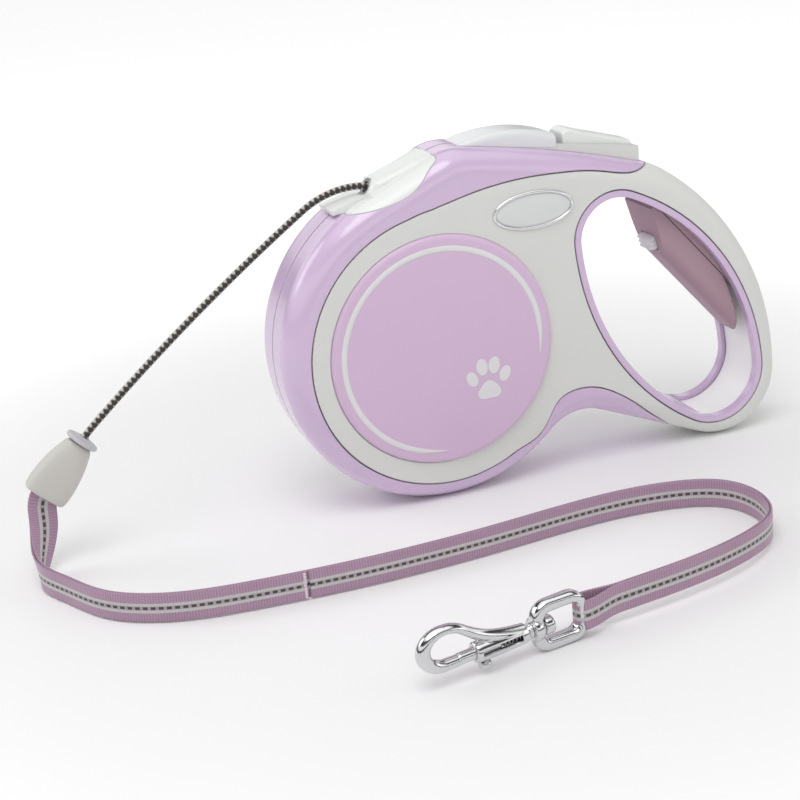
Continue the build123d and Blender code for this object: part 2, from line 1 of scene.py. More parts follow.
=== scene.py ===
import json
import math

import bmesh
import bpy
import numpy as np
from mathutils import Matrix, Vector


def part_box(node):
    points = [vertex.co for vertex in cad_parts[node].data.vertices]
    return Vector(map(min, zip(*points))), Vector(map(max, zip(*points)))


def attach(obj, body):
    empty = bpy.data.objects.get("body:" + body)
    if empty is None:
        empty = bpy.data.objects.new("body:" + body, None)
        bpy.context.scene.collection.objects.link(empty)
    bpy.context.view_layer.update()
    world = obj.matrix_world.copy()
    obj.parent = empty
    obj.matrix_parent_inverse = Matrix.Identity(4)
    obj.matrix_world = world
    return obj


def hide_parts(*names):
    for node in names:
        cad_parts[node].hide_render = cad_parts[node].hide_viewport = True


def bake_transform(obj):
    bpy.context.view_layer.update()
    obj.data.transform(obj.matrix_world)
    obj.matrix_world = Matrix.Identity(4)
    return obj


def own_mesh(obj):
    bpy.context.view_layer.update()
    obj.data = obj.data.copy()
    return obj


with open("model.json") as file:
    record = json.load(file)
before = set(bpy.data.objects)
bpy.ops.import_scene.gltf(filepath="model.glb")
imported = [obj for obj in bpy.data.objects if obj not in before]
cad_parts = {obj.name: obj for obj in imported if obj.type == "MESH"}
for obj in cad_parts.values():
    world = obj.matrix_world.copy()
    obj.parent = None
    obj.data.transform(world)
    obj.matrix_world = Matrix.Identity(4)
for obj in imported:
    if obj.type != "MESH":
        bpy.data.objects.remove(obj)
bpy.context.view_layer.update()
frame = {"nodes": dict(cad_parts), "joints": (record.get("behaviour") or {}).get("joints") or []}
NODES = frame["nodes"]
FLOOR_Z = -0.059


def unit_vector(v):
    return np.array(v, float) / np.linalg.norm(v)


# Dimensions shared with the CAD part, in metres
MID_Y = 0.019                                # mid-plane of the case
MOUTH = (-0.0180, 0.0602)
CORD_HEADING = 153.044                       # direction in which the cord leaves, degrees
CORD_BENDS = ((0.008, 24.0), (0.0348, 36.5), (0.810, 7.5), (0.040, 6.1))
CORD_TAIL = 0.009
CORD_R = 0.00146
CORD_INSERTED = 0.0055
CONNECTOR_LENGTH = 0.0228
FOLD_TOP = (-0.1486, MID_Y, -0.0382)
FOLD_LENGTH = 0.025
FOLD_TURN = 120.0
WEB_HALF = 0.0050
WEB_STEP = 0.00024
WEB_RIB = 0.00095                            # spacing of the ribs across the webbing
WEB_THICK = 0.00070
WEB_BAR = 0.0029                             # radius of the webbing's turn round the swivel's bar
WEB_PLAN = [(x / 1000, MID_Y + y / 1000) for x, y in (
    (-148, -32), (-138, -50.5), (-118, -64), (-92, -69), (-50, -71), (0, -68), (45, -64), (67, -66.8),
    (82, -75), (86.5, -90), (80, -108), (62, -122), (35, -131))]
WEB_CLIMB = (MID_Y - 0.095, MID_Y - 0.131)
SEAM_X = -0.0735
BAND_AT, BAND_HALF = 0.25, 0.10              # reflective lines, as shares of the half width
HOOK_AT = np.array([-0.0055, MID_Y - 0.138, -0.0502])
HOOK_U = unit_vector(next(j["axis"] for j in frame["joints"] if j["name"] == "hook_swivel"))
HOOK_V = unit_vector(np.cross((0, 0, 1), HOOK_U))
HOOK_W = np.cross(HOOK_U, HOOK_V)
BADGE_C = (0.0391, 0.0459)
BADGE_SIZE = (0.0160, 0.0071)
BADGE_TURN = 1.0
RING_R = 0.0381
RING_ARC = (-92.0, -372.0)
PAW_AT = (0.0165, -0.0150)
PAW_SIZE = 0.0105
PRINT_THICK, PRINT_SUNK = 0.00012, 0.00005   # how far a print stands out of and reaches into the disc
STEM_U = -35.6                               # place of the thumb knob's stem along the hook, millimetres
HOOK_VOXEL, BOLT_VOXEL = 0.00024, 0.0002     # finest detail of the cast parts
LATCH_TURN = math.radians(16.1)              # direction in which the latch is pushed
LATCH_WAY = np.array((math.cos(LATCH_TURN), 0, math.sin(LATCH_TURN)))
LATCH_UP = np.array((-math.sin(LATCH_TURN), 0, math.cos(LATCH_TURN)))
# far floor: where its glow for the camera begins and is full, and its strength
GLOW_FROM, GLOW_TO, GLOW = 0.16, 0.45, 0.34

# ------------------------------------------------------------------ materials


def new_material(name):
    mat = bpy.data.materials.new(name)
    mat.use_nodes = True
    nodes = mat.node_tree.nodes
    links = mat.node_tree.links
    nodes.clear()
    out = nodes.new("ShaderNodeOutputMaterial")
    bsdf = nodes.new("ShaderNodeBsdfPrincipled")
    links.new(bsdf.outputs[0], out.inputs[0])
    return mat, nodes, links, bsdf


def plastic(name, color, rough, grain=0.02, coat=0.0, edge=0.0006, subsurface=0.0):
    """Moulded plastic: faint colour variation, fine surface grain and softened edges."""
    grain_scale, vary = 2500.0, 0.03
    mat, nodes, links, bsdf = new_material(name)
    coord = nodes.new("ShaderNodeTexCoord")
    cloud = nodes.new("ShaderNodeTexNoise")
    cloud.inputs["Scale"].default_value = 18.0
    cloud.inputs["Detail"].default_value = 3.0
    links.new(coord.outputs["Object"], cloud.inputs["Vector"])
    ramp = nodes.new("ShaderNodeMix")
    ramp.data_type = "RGBA"
    dark = [c * (1 - vary) for c in color]
    light = [min(1.0, c * (1 + vary)) for c in color]
    ramp.inputs[6].default_value = (*dark, 1)
    ramp.inputs[7].default_value = (*light, 1)
    links.new(cloud.outputs["Fac"], ramp.inputs[0])
    links.new(ramp.outputs[2], bsdf.inputs["Base Color"])
    spread = nodes.new("ShaderNodeMapRange")
    spread.inputs["To Min"].default_value = rough - 0.04
    spread.inputs["To Max"].default_value = rough + 0.04
    links.new(cloud.outputs["Fac"], spread.inputs["Value"])
    links.new(spread.outputs[0], bsdf.inputs["Roughness"])
    fine = nodes.new("ShaderNodeTexNoise")
    fine.inputs["Scale"].default_value = grain_scale
    fine.inputs["Detail"].default_value = 2.0
    links.new(coord.outputs["Object"], fine.inputs["Vector"])
    bump = nodes.new("ShaderNodeBump")
    bump.inputs["Strength"].default_value = grain
    bump.inputs["Distance"].default_value = 0.0002
    links.new(fine.outputs["Fac"], bump.inputs["Height"])
    if edge:
        bevel = nodes.new("ShaderNodeBevel")
        bevel.samples = 4
        bevel.inputs["Radius"].default_value = edge
        links.new(bevel.outputs[0], bump.inputs["Normal"])
    links.new(bump.outputs[0], bsdf.inputs["Normal"])
    bsdf.inputs["Coat Weight"].default_value = coat
    bsdf.inputs["Coat Roughness"].default_value = 0.12
    if subsurface:
        bsdf.inputs["Subsurface Weight"].default_value = subsurface
        bsdf.inputs["Subsurface Radius"].default_value = (0.004, 0.003, 0.003)
        bsdf.inputs["Subsurface Scale"].default_value = 0.5
    return mat


def metal(name, color, rough, edge=0.0003):
    mat, nodes, links, bsdf = new_material(name)
    bsdf.inputs["Base Color"].default_value = (*color, 1)
    bsdf.inputs["Metallic"].default_value = 1.0
    coord = nodes.new("ShaderNodeTexCoord")
    smear = nodes.new("ShaderNodeTexNoise")
    smear.inputs["Scale"].default_value = 260.0
    smear.inputs["Detail"].default_value = 4.0
    links.new(coord.outputs["Object"], smear.inputs["Vector"])
    spread = nodes.new("ShaderNodeMapRange")
    spread.inputs["To Min"].default_value = max(0.02, rough - 0.05)
    spread.inputs["To Max"].default_value = rough + 0.08
    links.new(smear.outputs["Fac"], spread.inputs["Value"])
    links.new(spread.outputs[0], bsdf.inputs["Roughness"])
    bevel = nodes.new("ShaderNodeBevel")
    bevel.samples = 4
    bevel.inputs["Radius"].default_value = edge
    links.new(bevel.outputs[0], bsdf.inputs["Normal"])
    return mat


def wear(node, mat):
    """Gives a carried-over CAD node its material."""
    obj = NODES[node]
    obj.data.materials.clear()
    obj.data.materials.append(mat)


LILAC = plastic("lilac_gloss", (0.68, 0.52, 0.73), 0.2, coat=0.5)
DISC = plastic("lilac_satin", (0.71, 0.52, 0.71), 0.42)
SKIN = plastic("soft_grey", (0.74, 0.75, 0.72), 0.5)
PALE = plastic("pale_plastic", (0.83, 0.85, 0.83), 0.3, subsurface=0.1)
LENS = plastic("window_plastic", (0.80, 0.81, 0.82), 0.26, grain=0.01, coat=0.15, subsurface=0.1)
LINER = plastic("liner_white", (0.94, 0.95, 0.94), 0.35)
DARK = plastic("dark_plastic", (0.03, 0.03, 0.035), 0.45)
# painted shade: the grip slider and its bed are lilac; this lilac is made darker and browner for the shade
# they lie in
LILAC_IN_SHADE = plastic("lilac_painted_shade", (0.43, 0.29, 0.34), 0.5)
CHROME = metal("chrome", (0.66, 0.66, 0.67), 0.09)
STEEL = metal("steel", (0.55, 0.55, 0.57), 0.3)
THREAD = plastic("thread", (0.75, 0.62, 0.70), 0.7, grain=0.3, edge=0)
CONNECTOR = plastic("connector_grey", (0.60, 0.585, 0.55), 0.45, edge=0)
COLLAR = plastic("collar_grey", (0.56, 0.54, 0.58), 0.4, edge=0)
PRINT = plastic("white_print", (0.80, 0.79, 0.80), 0.4, edge=0)
BADGE_PLATE = plastic("badge_silver", (0.74, 0.75, 0.75), 0.35, edge=0)
BADGE_RIM = metal("badge_rim", (0.86, 0.86, 0.87), 0.22)

LOOKS = {
    "case_left": LILAC, "case_right": LILAC, "soft_skin_left": SKIN, "soft_skin_right": SKIN,
    "side_disc_left": DISC, "side_disc_right": DISC,
    "cord_nozzle": PALE, "cord_bush": STEEL, "brake_frame": SKIN, "window_cover": LENS,
    "brake_button": PALE, "brake_bar": DARK, "brake_springs": STEEL, "axle": STEEL,
    "reel_drum": DARK, "reel_flange": DARK, "spring_lid": STEEL, "main_spring": STEEL,
    "spring_arbor": STEEL,
    # the grip slider and its bed wear lilac with painted shade
    "grip_slider": LILAC_IN_SHADE, "grip_bed": LILAC_IN_SHADE, "grip_latch": PALE, "latch_spring": STEEL, "handle_liner": LINER,
    "bolt_spring": STEEL, "case_screws": STEEL,
}
for node_name, look in LOOKS.items():
    wear(node_name, look)

# ------------------------------------------------------------------ geometry tools


def stand_for(obj, body, node):
    """The piece moves with a body and is shown in place of a CAD node."""
    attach(obj, body)
    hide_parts(node)


def add_mesh(name, verts, faces, material, smooth=True):
    mesh = bpy.data.meshes.new(name)
    mesh.from_pydata([tuple(v) for v in verts], [], faces)
    mesh.validate()
    mesh.polygons.foreach_set("use_smooth", [smooth] * len(mesh.polygons))
    mesh.materials.append(material)
    mesh.update()
    obj = bpy.data.objects.new(name, mesh)
    bpy.context.scene.collection.objects.link(obj)
    return obj


def add_floats(obj, name, values):
    attribute = obj.data.attributes.new(name, "FLOAT", "POINT")
    attribute.data.foreach_set("value", np.asarray(values, np.float32))


def tube_faces(rings, around):
    """Quads between successive rings of points, closed at both ends."""
    faces = []
    for i in range(rings - 1):
        for j in range(around):
            k = (j + 1) % around
            faces.append((i * around + j, i * around + k, (i + 1) * around + k, (i + 1) * around + j))
    faces.append(tuple(range(around))[::-1])
    faces.append(tuple((rings - 1) * around + j for j in range(around)))
    return faces


def clamped_spline(points, start_dir, end_dir, step):
    """Cubic spline through the points with chord-length spacing; returns evenly spaced samples."""
    pts = np.array(points, float)
    knots = np.concatenate([[0], np.cumsum(np.linalg.norm(np.diff(pts, axis=0), axis=1))])
    h = np.diff(knots)
    n = len(pts)
    system = np.zeros((n, n))
    right = np.zeros_like(pts)
    system[0, 0] = system[-1, -1] = 1
    right[0] = start_dir
    right[-1] = end_dir
    for i in range(1, n - 1):
        system[i, i - 1] = h[i]
        system[i, i] = 2 * (h[i - 1] + h[i])
        system[i, i + 1] = h[i - 1]
        rise = h[i] / h[i - 1] * (pts[i] - pts[i - 1]) + h[i - 1] / h[i] * (pts[i + 1] - pts[i])
        right[i] = 3 * rise
    slopes = np.linalg.solve(system, right)
    dense = []
    for i in range(n - 1):
        t = np.linspace(0, 1, 60, endpoint=False)[:, None]
        a, b = pts[i], pts[i + 1]
        ma, mb = slopes[i] * h[i], slopes[i + 1] * h[i]
        dense.append(
            (2 * t ** 3 - 3 * t ** 2 + 1) * a + (t ** 3 - 2 * t ** 2 + t) * ma
            + (3 * t ** 2 - 2 * t ** 3) * b + (t ** 3 - t ** 2) * mb
        )
    dense = np.vstack(dense + [pts[-1:]])
    return resample(dense, step)


def resample(line, step):
    reach = np.concatenate([[0], np.cumsum(np.linalg.norm(np.diff(line, axis=0), axis=1))])
    count = max(2, int(round(reach[-1] / step)) + 1)
    at = np.linspace(0, reach[-1], count)
    return np.stack([np.interp(at, reach, line[:, k]) for k in range(line.shape[1])], axis=1)


def unit(v):
    return v / np.maximum(np.linalg.norm(v, axis=-1, keepdims=True), 1e-12)


def smoothstep(x):
    x = np.clip(x, 0, 1)
    return x * x * (3 - 2 * x)


# ------------------------------------------------------------------ cord


def arc_chain(start, heading, bends, step=0.0002):
    """Points along a chain of tangent arcs in the side view; a bend is (radius, degrees)."""
    points = [np.array(start)]
    for radius, turn in bends:
        count = max(2, int(radius * math.radians(turn) / step))
        for _ in range(count):
            heading += math.radians(turn) / count / 2
            move = radius * math.radians(turn) / count
            points.append(points[-1] + move * np.array([math.cos(heading), math.sin(heading)]))
            heading += math.radians(turn) / count / 2
    return points, heading


def cord_line():
    """The cord's centre line in the row frame, from inside the nozzle to inside the connector."""
    heading = math.radians(CORD_HEADING)
    along = np.array([math.cos(heading), math.sin(heading)])
    start = np.array(MOUTH) - along * 0.012
    points, heading = arc_chain(np.array(MOUTH), heading, CORD_BENDS)
    tail = points[-1] + CORD_TAIL * np.array([math.cos(heading), math.sin(heading)])
    side = np.array([start] + points + [tail])
    line = np.stack([side[:, 0], np.full(len(side), MID_Y), side[:, 1]], axis=1)
    return line, heading


def braided_tube(name, line, radius, material, around=32, step=0.00014):
    """A cord of two families of strands that cross over and under each other."""
    pitch, carriers, relief = 0.0021, 2, 0.24
    path = resample(line, step)
    tangent = unit(np.gradient(path, axis=0))
    side = unit(np.cross(tangent, np.array([0.0, 1.0, 0.0])))
    over = np.cross(side, tangent)
    reach = np.arange(len(path)) * step
    theta = np.arange(around) / around
    turn = theta[None, :] * carriers
    a = turn + (reach / pitch)[:, None]
    b = turn - (reach / pitch)[:, None]
    first = (np.floor(a) + np.floor(b)) % 2 == 0
    fa, fb = a - np.floor(a), b - np.floor(b)
    ridge_a = np.sin(math.pi * fa) ** 0.6 * (0.55 + 0.45 * np.sin(math.pi * fb))
    ridge_b = np.sin(math.pi * fb) ** 0.6 * (0.55 + 0.45 * np.sin(math.pi * fa))
    height = np.where(first, ridge_a, ridge_b)
    strand = np.where(first, 0.0, 1.0)
    r = radius * (1 - relief + relief * height)
    angle = theta * 2 * math.pi
    verts = (
        path[:, None, :]
        + side[:, None, :] * (r * np.cos(angle))[:, :, None]
        + over[:, None, :] * (r * np.sin(angle))[:, :, None]
    ).reshape(-1, 3)
    obj = add_mesh(name, verts, tube_faces(len(path), around), material)
    add_floats(obj, "strand", strand.ravel())
    add_floats(obj, "height", height.ravel())
    return obj


def cord_material():
    mat, nodes, links, bsdf = new_material("braided_cord")
    strand = nodes.new("ShaderNodeAttribute")
    strand.attribute_name = "strand"
    height = nodes.new("ShaderNodeAttribute")
    height.attribute_name = "height"
    coord = nodes.new("ShaderNodeTexCoord")
    fuzz = nodes.new("ShaderNodeTexNoise")
    fuzz.inputs["Scale"].default_value = 1800.0
    fuzz.inputs["Detail"].default_value = 3.0
    links.new(coord.outputs["Object"], fuzz.inputs["Vector"])
    tone = nodes.new("ShaderNodeMix")
    tone.data_type = "RGBA"
    tone.inputs[6].default_value = (0.035, 0.028, 0.026, 1)
    tone.inputs[7].default_value = (0.72, 0.68, 0.62, 1)
    links.new(strand.outputs["Fac"], tone.inputs[0])
    # painted shade: the braid's colour is darkened, down to a quarter, between the strands where the height
    # is low
    shade = nodes.new("ShaderNodeMapRange")
    shade.inputs["From Min"].default_value = 0.2
    shade.inputs["From Max"].default_value = 0.9
    shade.inputs["To Min"].default_value = 0.25
    links.new(height.outputs["Fac"], shade.inputs["Value"])
    fade = nodes.new("ShaderNodeMix")
    fade.data_type = "RGBA"
    fade.blend_type = "MULTIPLY"
    fade.inputs[0].default_value = 1.0
    links.new(tone.outputs[2], fade.inputs[6])
    links.new(shade.outputs[0], fade.inputs[7])
    links.new(fade.outputs[2], bsdf.inputs["Base Color"])
    bsdf.inputs["Roughness"].default_value = 0.7
    bsdf.inputs["Sheen Weight"].default_value = 0.3
    bump = nodes.new("ShaderNodeBump")
    bump.inputs["Strength"].default_value = 0.4
    bump.inputs["Distance"].default_value = 0.0001
    links.new(fuzz.outputs["Fac"], bump.inputs["Height"])
    links.new(bump.outputs[0], bsdf.inputs["Normal"])
    return mat


def build_cord():
    line, heading = cord_line()
    cord = braided_tube("cord_braid", line, CORD_R, CORD)
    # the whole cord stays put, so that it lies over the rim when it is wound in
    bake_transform(cord)
    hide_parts("cord_run")
    return line[-1], heading


def build_wound_cord():
    """The turns on the drum, seen as rounded rows."""
    lo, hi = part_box("wound_cord")
    outer = (hi.x - lo.x) / 2
    rows = 4
    width = (hi.y - lo.y) / rows
    profile = [(0.0205, lo.y + 0.0001)]
    for k in range(rows):
        for j in range(7):
            angle = math.pi * (j + 0.5) / 7
            y = lo.y + width * (k + 0.5 - 0.5 * math.cos(angle))
            profile.append((outer - 0.0014 + 0.0013 * math.sin(angle), y))
    profile.append((0.0205, hi.y - 0.0001))
    turns = lathe("cord_turns", profile, (0, 0, 0), (0, 1, 0), (1, 0, 0), CORD, 96)
    stand_for(turns, "reel", "wound_cord")


def lathe(name, profile, origin, axis, ref, material, around=64):
    """Turns a closed profile of (radius, height) points about an axis."""
    axis = unit(np.array(axis, float))
    u = np.array(ref, float)
    u = unit(u - axis * (u @ axis))
    v = np.cross(axis, u)
    origin = np.array(origin, float)
    verts = []
    for radius, height in profile:
        for k in range(around):
            t = 2 * math.pi * k / around
            verts.append(origin + axis * height + u * radius * math.cos(t) + v * radius * math.sin(t))
    n = len(profile)
    faces = []
    for i in range(n):
        for j in range(around):
            k = (j + 1) % around
            m = (i + 1) % n
            faces.append((i * around + j, i * around + k, m * around + k, m * around + j))
    obj = add_mesh(name, verts, faces, material)
    fix_normals(obj)
    return obj


def fix_normals(obj):
    bm = bmesh.new()
    bm.from_mesh(obj.data)
    bmesh.ops.remove_doubles(bm, verts=bm.verts, dist=1e-7)
    bmesh.ops.recalc_face_normals(bm, faces=bm.faces)
    bm.to_mesh(obj.data)
    bm.free()


def build_knots():
    """Tight knots: three crossing loops of the cord each."""
    for node, body in (("cord_knot", "leash"), ("cord_anchor", "reel")):
        lo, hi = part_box(node)
        centre = np.array((lo + hi) / 2)
        size = (hi.x - lo.x) / 2
        t = np.linspace(0, 2 * math.pi, 90)
        radius = size * 0.52
        knot = np.stack([
            (np.sin(t) + 0.9 * np.sin(2 * t)) * radius * 0.55,
            (np.cos(t) - 0.9 * np.cos(2 * t)) * radius * 0.55,
            -np.sin(3 * t) * radius * 0.55,
        ], axis=1) + centre
        obj = braided_tube(node + "_loops", knot, size * 0.38, CORD, around=12, step=0.0004)
        stand_for(obj, body, node)


# ------------------------------------------------------------------ webbing


def turned(vector, degrees):
    """Rolls a vector about the diagonal that takes hanging webbing onto its edge."""
    return np.array(Matrix.Rotation(math.radians(degrees), 3, Vector((-1, 1, 1))) @ Vector(vector))


def webbing_line(mouth, heading):
    """Centre points, and the width direction at each, from inside the connector to the hook."""
    axis = np.array([math.cos(heading), 0, math.sin(heading)])
    across = np.array([axis[2], 0, -axis[0]])
    points, widths = [mouth - axis * 0.009], [across]
    points.append(mouth.copy())
    widths.append(across)
    centre = np.array(FOLD_TOP)
    hang = np.array([0, 0, -1.0])
    side = np.array([-1.0, 0, 0])
    for k in range(1, 12):
        t = k / 12
        h = 2 * t ** 3 - 3 * t ** 2 + 1
        gap = np.linalg.norm(centre - mouth)
        bend = (t ** 3 - 2 * t ** 2 + t) * axis * gap + (t ** 3 - t ** 2) * hang * gap
        points.append(mouth * h + centre * (1 - h) + bend)
        widths.append(unit(across * (1 - smoothstep(t)) + side * smoothstep(t)))
    count = 60
    for k in range(count + 1):
        points.append(centre.copy())
        widths.append(turned(side, FOLD_TURN * k / count))
        centre = centre + turned(hang, FOLD_TURN * (k + 0.5) / count) * FOLD_LENGTH / count
    end = points[-1]
    u = HOOK_U
    plan = [end[:2]] + [np.array(p) for p in WEB_PLAN] + [HOOK_AT[:2] + u[:2] * 0.012]
    floor_run = clamped_spline(plan, (0, -1), tuple(-unit(u[:2])), 0.0005)
    rise = smoothstep((WEB_CLIMB[0] - floor_run[:, 1]) / (WEB_CLIMB[0] - WEB_CLIMB[1]))
    late = np.arange(len(floor_run)) > len(floor_run) * 0.6
    z = end[2] + (HOOK_AT[2] - end[2]) * rise * late
    up = np.array([0, 0, 1.0])
    for k in range(1, len(floor_run)):
        points.append(np.array([floor_run[k, 0], floor_run[k, 1], z[k]]))
        widths.append(up)
    for k in range(1, 25):
        points.append(points[-1] - u * 0.0005)
        widths.append(up)
    points = np.array(points)
    widths = np.array(widths)
    both = resample(np.hstack([points, widths * 0.002]), WEB_STEP)
    both[:, 3:] = unit(both[:, 3:])
    both = soften(both, 17)
    return both[:, :3], unit(both[:, 3:])


def soften(rows, reach):
    """A running mean over the rows, with the ends held."""
    padded = np.vstack([np.repeat(rows[:1], reach, 0), rows, np.repeat(rows[-1:], reach, 0)])
    total = np.cumsum(np.vstack([np.zeros((1, rows.shape[1])), padded]), axis=0)
    window = 2 * reach + 1
    return (total[window:] - total[:-window]) / window


def ribbon(name, centre, width_dir, half_width, thickness, material, cross=26):
    """A woven strip with rounded selvedges and ribs across it."""
    tangent = unit(np.gradient(centre, axis=0))
    normal = unit(np.cross(tangent, width_dir))
    width_dir = np.cross(normal, tangent)
    reach = np.concatenate([[0], np.cumsum(np.linalg.norm(np.diff(centre, axis=0), axis=1))])
    ridge = 0.5 + 0.5 * np.cos(2 * math.pi * reach / WEB_RIB)
    v = np.linspace(-1, 1, cross)
    swell = (1 - np.abs(v) ** 8) ** 0.5
    bands = np.exp(-((np.abs(v) - BAND_AT) / BAND_HALF) ** 8)
    seam = np.exp(-(v / 0.07) ** 4)
    base = thickness / 2 * (0.45 + 0.55 * swell)
    lift = base[None, :] + 0.00005 * ridge[:, None] * (1 - 0.75 * bands)[None, :] + 0.00007 * bands[None, :]
    lift -= 0.00006 * seam[None, :]
    scallop = half_width + 0.00013 * (ridge - 0.5)
    front = (
        centre[:, None, :] + width_dir[:, None, :] * (v[None, :] * scallop[:, None])[:, :, None]
        + normal[:, None, :] * lift[:, :, None]
    )
    back = (
        centre[:, None, :] + width_dir[:, None, :] * (v[None, ::-1] * scallop[:, None])[:, :, None]
        - normal[:, None, :] * lift[:, ::-1, None]
    )
    verts = np.concatenate([front, back], axis=1).reshape(-1, 3)
    obj = add_mesh(name, verts, tube_faces(len(centre), 2 * cross), material)
    add_floats(obj, "along", np.repeat(reach, 2 * cross))
    add_floats(obj, "across", np.tile(np.concatenate([v, v[::-1]]), len(centre)))
    return obj


def math_node(nodes, links, operation, a, b=None, c=None):
    node = nodes.new("ShaderNodeMath")
    node.operation = operation
    for k, value in enumerate((a, b, c)):
        if value is None:
            continue
        if isinstance(value, (int, float)):
            node.inputs[k].default_value = value
        else:
            links.new(value, node.inputs[k])
    return node.outputs[0]


def mix_color(nodes, links, factor, a, b, blend="MIX"):
    node = nodes.new("ShaderNodeMix")
    node.data_type = "RGBA"
    node.blend_type = blend
    if isinstance(factor, (int, float)):
        node.inputs[0].default_value = factor
    else:
        links.new(factor, node.inputs[0])
    for slot, value in ((6, a), (7, b)):
        if isinstance(value, tuple):
            node.inputs[slot].default_value = (*value, 1) if len(value) == 3 else value
        else:
            links.new(value, node.inputs[slot])
    return node.outputs[2]


def webbing_material():
    mat, nodes, links, bsdf = new_material("webbing_weave")
    along = nodes.new("ShaderNodeAttribute")
    along.attribute_name = "along"
    across = nodes.new("ShaderNodeAttribute")
    across.attribute_name = "across"
    s = math_node(nodes, links, "MULTIPLY", along.outputs["Fac"], 1000.0)
    v = math_node(nodes, links, "ABSOLUTE", across.outputs["Fac"])
    rib = math_node(nodes, links, "MULTIPLY", s, 2 * math.pi / (WEB_RIB * 1000))
    rib = math_node(nodes, links, "COSINE", rib)
    rib = math_node(nodes, links, "MULTIPLY_ADD", rib, 0.5, 0.5)
    coord = nodes.new("ShaderNodeTexCoord")
    cloud = nodes.new("ShaderNodeTexNoise")
    cloud.inputs["Scale"].default_value = 60.0
    links.new(coord.outputs["Object"], cloud.inputs["Vector"])
    fuzz = nodes.new("ShaderNodeTexNoise")
    fuzz.inputs["Scale"].default_value = 1500.0
    fuzz.inputs["Detail"].default_value = 4.0
    links.new(coord.outputs["Object"], fuzz.inputs["Vector"])
    mauve = mix_color(nodes, links, cloud.outputs["Fac"], (0.29, 0.17, 0.26), (0.41, 0.26, 0.36))
    # painted highlight: the crest of each rib is mixed towards a lighter mauve
    mauve = mix_color(nodes, links, math_node(nodes, links, "MULTIPLY", rib, 0.55), mauve, (0.58, 0.41, 0.52))
    speck = math_node(nodes, links, "MULTIPLY", fuzz.outputs["Fac"], 0.35)
    mauve = mix_color(nodes, links, speck, mauve, (0.30, 0.16, 0.28))
    band = math_node(nodes, links, "LESS_THAN", v, BAND_AT + BAND_HALF)
    silver = mix_color(nodes, links, fuzz.outputs["Fac"], (0.42, 0.42, 0.41), (0.62, 0.61, 0.60))
    dash = math_node(nodes, links, "SINE", math_node(nodes, links, "MULTIPLY", s, 2 * math.pi / 2.7))
    dash = math_node(nodes, links, "GREATER_THAN", dash, -0.35)
    core = math_node(nodes, links, "LESS_THAN", v, BAND_AT - BAND_HALF)
    thread = math_node(nodes, links, "LESS_THAN", v, 0.10)
    dark = math_node(nodes, links, "MULTIPLY", thread, dash)
    middle = math_node(nodes, links, "MULTIPLY", core, 0.8)
    silver = mix_color(nodes, links, middle, silver, (0.36, 0.27, 0.32))
    silver = mix_color(nodes, links, dark, silver, (0.06, 0.05, 0.055))
    links.new(mix_color(nodes, links, band, mauve, silver), bsdf.inputs["Base Color"])
    bsdf.inputs["Roughness"].default_value = 0.62
    bsdf.inputs["Sheen Weight"].default_value = 0.35
    bsdf.inputs["Sheen Roughness"].default_value = 0.4
    bump = nodes.new("ShaderNodeBump")
    bump.inputs["Strength"].default_value = 0.5
    bump.inputs["Distance"].default_value = 0.00012
    links.new(fuzz.outputs["Fac"], bump.inputs["Height"])
    links.new(bump.outputs[0], bsdf.inputs["Normal"])
    return mat


def build_webbing(mouth, heading):
    centre, width_dir = webbing_line(mouth, heading)
    tangent = unit(np.gradient(centre, axis=0))
    normal = unit(np.cross(tangent, width_dir))
    reach = np.concatenate([[0], np.cumsum(np.linalg.norm(np.diff(centre, axis=0), axis=1))])
    total = reach[-1]
    half_gap = 0.00050
    opening = 0.014
    apart = half_gap + (WEB_BAR - half_gap) * smoothstep((reach - total + opening) / opening)
    front_sign = 1.0 if normal[len(normal) // 2] @ np.array([0, -1, 0]) > 0 else -1.0
    front = centre + normal * (apart * front_sign)[:, None]
    back = centre - normal * (apart * front_sign)[:, None]
    seam = int(np.argmin(np.abs(centre[:, 0] - SEAM_X) + 10 * (reach < 0.06) + 10 * (centre[:, 1] < -0.075)))
    # round the bar of the swivel eye
    n, t = normal[-1] * front_sign, tangent[-1]
    steps = int(math.pi * WEB_BAR / WEB_STEP)
    angles = (np.arange(1, steps)) / steps * math.pi
    round_bar = n[None, :] * np.cos(angles)[:, None] + t[None, :] * np.sin(angles)[:, None]
    turn = centre[-1] + round_bar * WEB_BAR
    long_line = np.vstack([front[seam + 3:], turn, back[::-1]])
    long_width = np.vstack([width_dir[seam + 3:], np.repeat(width_dir[-1:], len(turn), 0), width_dir[::-1]])
    lines = (("strap_near_end", front[:seam], width_dir[:seam]), ("strap_main", long_line, long_width))
    for name, line, widths in lines:
        obj = ribbon(name, line, widths, WEB_HALF, WEB_THICK, WEB)
        stand_for(obj, "leash", "webbing")
    # sewn bar across the end of the near layer
    place, n, t = front[seam - 4], normal[seam - 4] * front_sign, tangent[seam - 4]
    verts, faces = [], []
    for k in range(9):
        base = place + width_dir[seam] * (-0.0042 + 0.00105 * k)
        verts_k, faces_k = stitch(base, t, n, width_dir[seam], 0.00055, 0.00105)
        faces += [tuple(i + len(verts) for i in f) for f in faces_k]
        verts += verts_k
    bar_obj = add_mesh("seam_stitches", verts, faces, THREAD)
    stand_for(bar_obj, "leash", "web_stitching")


def stitch(base, along, out, across, radius, length):
    """One short padded stitch lying across the webbing."""
    verts = []
    rings, around = 7, 8
    for i in range(rings):
        t = i / (rings - 1)
        fat = math.sin(math.pi * (0.12 + 0.76 * t)) ** 0.6
        for j in range(around):
            a = 2 * math.pi * j / around
            verts.append(
                base + across * (t - 0.5) * length + along * math.cos(a) * radius * fat
                + out * (0.00035 + math.sin(a) * radius * 0.45 * fat)
            )
    return verts, tube_faces(rings, around)


# ------------------------------------------------------------------ connector and collar


